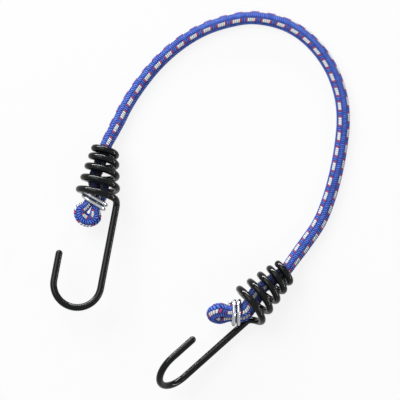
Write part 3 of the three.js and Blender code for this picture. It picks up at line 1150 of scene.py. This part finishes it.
class BUNGEE_OT_hooks(bpy.types.Operator):
    """Build each hook's steel wire and its glossy coating"""

    bl_idname = "bungee.hooks"
    bl_label = "Hooks"

    def execute(self, context):
        settings = context.scene.bungee_hook
        radius, core = settings.coated_radius, settings.steel_radius
        steel = metal_finish("cut_steel", settings.steel, smooth=0.3, rough=0.5, scale=2500)
        coating = coating_finish(settings)
        bore = core / radius
        outer_reach, outer_share = RIM_OUTER
        rim = [(RIM_BORE_DEPTH, bore), (-RIM_INNER_REACH, bore), (-outer_reach, outer_share)]
        cut = [(-reach, share) for reach, share in STEEL_CUT]
        for name in ENDS:
            path, first = hook_path(name)
            tip = dome(radius, HOOK_DOME_RINGS)
            coat = round_wire(f"{name}_coated_hook", path, radius, first, COATING_GRID, rim, tip)
            finish_piece(coat, coating, "coating", [f"{name}_hook_coating"])
            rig.ride(coat, f"{name}_hook")
            wire = round_wire(f"{name}_steel_wire", path, core * STEEL_IN_BORE, first, STEEL_GRID, cut, [])
            finish_piece(wire, steel, "steel", [f"{name}_hook_wire"])
            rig.ride(wire, f"{name}_hook")
        return {"FINISHED"}


class BUNGEE_OT_clamps(bpy.types.Operator):
    """Build the plated wire clamp round each eye"""

    bl_idname = "bungee.clamps"
    bl_label = "Clamps"

    def execute(self, context):
        settings = context.scene.bungee_hook
        zinc = metal_finish("bright_zinc", settings.zinc, smooth=0.1, rough=0.3, scale=1800)
        reach, share = CLAMP_CUT
        start, finish = [(-reach, share)], [(reach, share)]
        for name in ENDS:
            path, first = clamp_path(name, context.scene.bungee_cord)
            piece = round_wire(f"{name}_clamp", path, CLAMP_WIRE_RADIUS, first, CLAMP_GRID, start, finish)
            finish_piece(piece, zinc, "zinc", [f"{name}_clamp_wire"])
            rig.ride(piece, f"{name}_end")
        return {"FINISHED"}


class BUNGEE_OT_stage(bpy.types.Operator):
    """Set the floor, the light and the camera over the cord"""

    bl_idname = "bungee.stage"
    bl_label = "Stage"

    def execute(self, context):
        settings = context.scene.bungee_stage
        centre = Vector(settings.centre)
        self.floor(settings, centre)
        self.sky(context, settings)
        for name, place, size, share, lights_matt in LAMPS:
            lamp = self.lamp(name, centre + Vector(place), centre, size, settings.softbox * share)
            lamp.visible_diffuse = lights_matt
        self.camera(context, settings, centre)
        context.scene.view_settings.view_transform = "Standard"
        return {"FINISHED"}

    def floor(self, settings, centre):
        """A level square under the centre."""
        left, right = centre.x - FLOOR_REACH, centre.x + FLOOR_REACH
        front, back = centre.y - FLOOR_REACH, centre.y + FLOOR_REACH
        corners = (left, front), (right, front), (right, back), (left, back)
        mesh = bpy.data.meshes.new("floor")
        mesh.from_pydata([(x, y, FLOOR_HEIGHT) for x, y in corners], [], [(0, 1, 2, 3)])
        mesh.materials.append(floor_finish(settings))
        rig.stage(add_object("floor", mesh))

    def sky(self, context, settings):
        """The world shows as white to the camera and in glossy surfaces, and lights at its own level."""
        world = bpy.data.worlds.new("soft_sky")
        context.scene.world = world
        paint = Paint(world)
        background = world.node_tree.nodes["Background"]
        paint.feed(background.inputs["Color"], WHITE)
        paint.feed(background.inputs["Strength"], seen_rays(paint).between(settings.sky, 1))

    def lamp(self, name, place, target, size, power):
        """A rectangular lamp at its place, turned to its target."""
        light = bpy.data.lights.new(name, "AREA")
        light.shape = "RECTANGLE"
        light.size, light.size_y = size
        light.energy = power
        lamp = add_object(name, light)
        lamp.location = place
        lamp.rotation_euler = (target - place).to_track_quat("-Z", "Y").to_euler()
        return lamp

    def camera(self, context, settings, centre):
        """A camera straight above the centre that sees the picture's width there."""
        lens = bpy.data.cameras.new("camera")
        lens.sensor_width = SENSOR_WIDTH
        lens.lens = SENSOR_WIDTH * settings.height / settings.width
        camera = add_object("camera", lens)
        camera.location = centre + Vector((0, 0, settings.height))
        context.scene.camera = camera


class BUNGEE_PT_panel(bpy.types.Panel):
    """The cord's pieces and their settings"""

    bl_label = "Bungee Cord"
    bl_idname = "BUNGEE_PT_panel"
    bl_space_type = "VIEW_3D"
    bl_region_type = "UI"
    bl_category = "Bungee Cord"

    def draw(self, context):
        scene = context.scene
        for group in (scene.bungee_cord, scene.bungee_hook, scene.bungee_stage):
            box = self.layout.box()
            for key in group.__annotations__:
                box.prop(group, key)
        for operator in OPERATORS:
            self.layout.operator(operator.bl_idname)


SETTINGS = {"bungee_cord": CordSettings, "bungee_hook": HookSettings, "bungee_stage": StageSettings}
OPERATORS = (
    BUNGEE_OT_free_cord,
    BUNGEE_OT_eyes,
    BUNGEE_OT_tails,
    BUNGEE_OT_hooks,
    BUNGEE_OT_clamps,
    BUNGEE_OT_stage,
)


def register():
    for cls in (*SETTINGS.values(), *OPERATORS, BUNGEE_PT_panel):
        bpy.utils.register_class(cls)
    for name, cls in SETTINGS.items():
        setattr(bpy.types.Scene, name, PointerProperty(type=cls))


def unregister():
    for name in SETTINGS:
        delattr(bpy.types.Scene, name)
    for cls in reversed((*SETTINGS.values(), *OPERATORS, BUNGEE_PT_panel)):
        bpy.utils.unregister_class(cls)


def main():
    register()
    bpy.ops.bungee.free_cord()
    bpy.ops.bungee.eyes()
    bpy.ops.bungee.tails()
    bpy.ops.bungee.hooks()
    bpy.ops.bungee.clamps()
    bpy.ops.bungee.stage()
    sizes = {"solids": SOLID_BOUNDS, "dressed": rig.bounds()}
    with open("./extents.json", "w") as file:
        json.dump({key: [list(corner) for corner in corners] for key, corners in sizes.items()}, file)


if __name__ == "__main__":
    main()
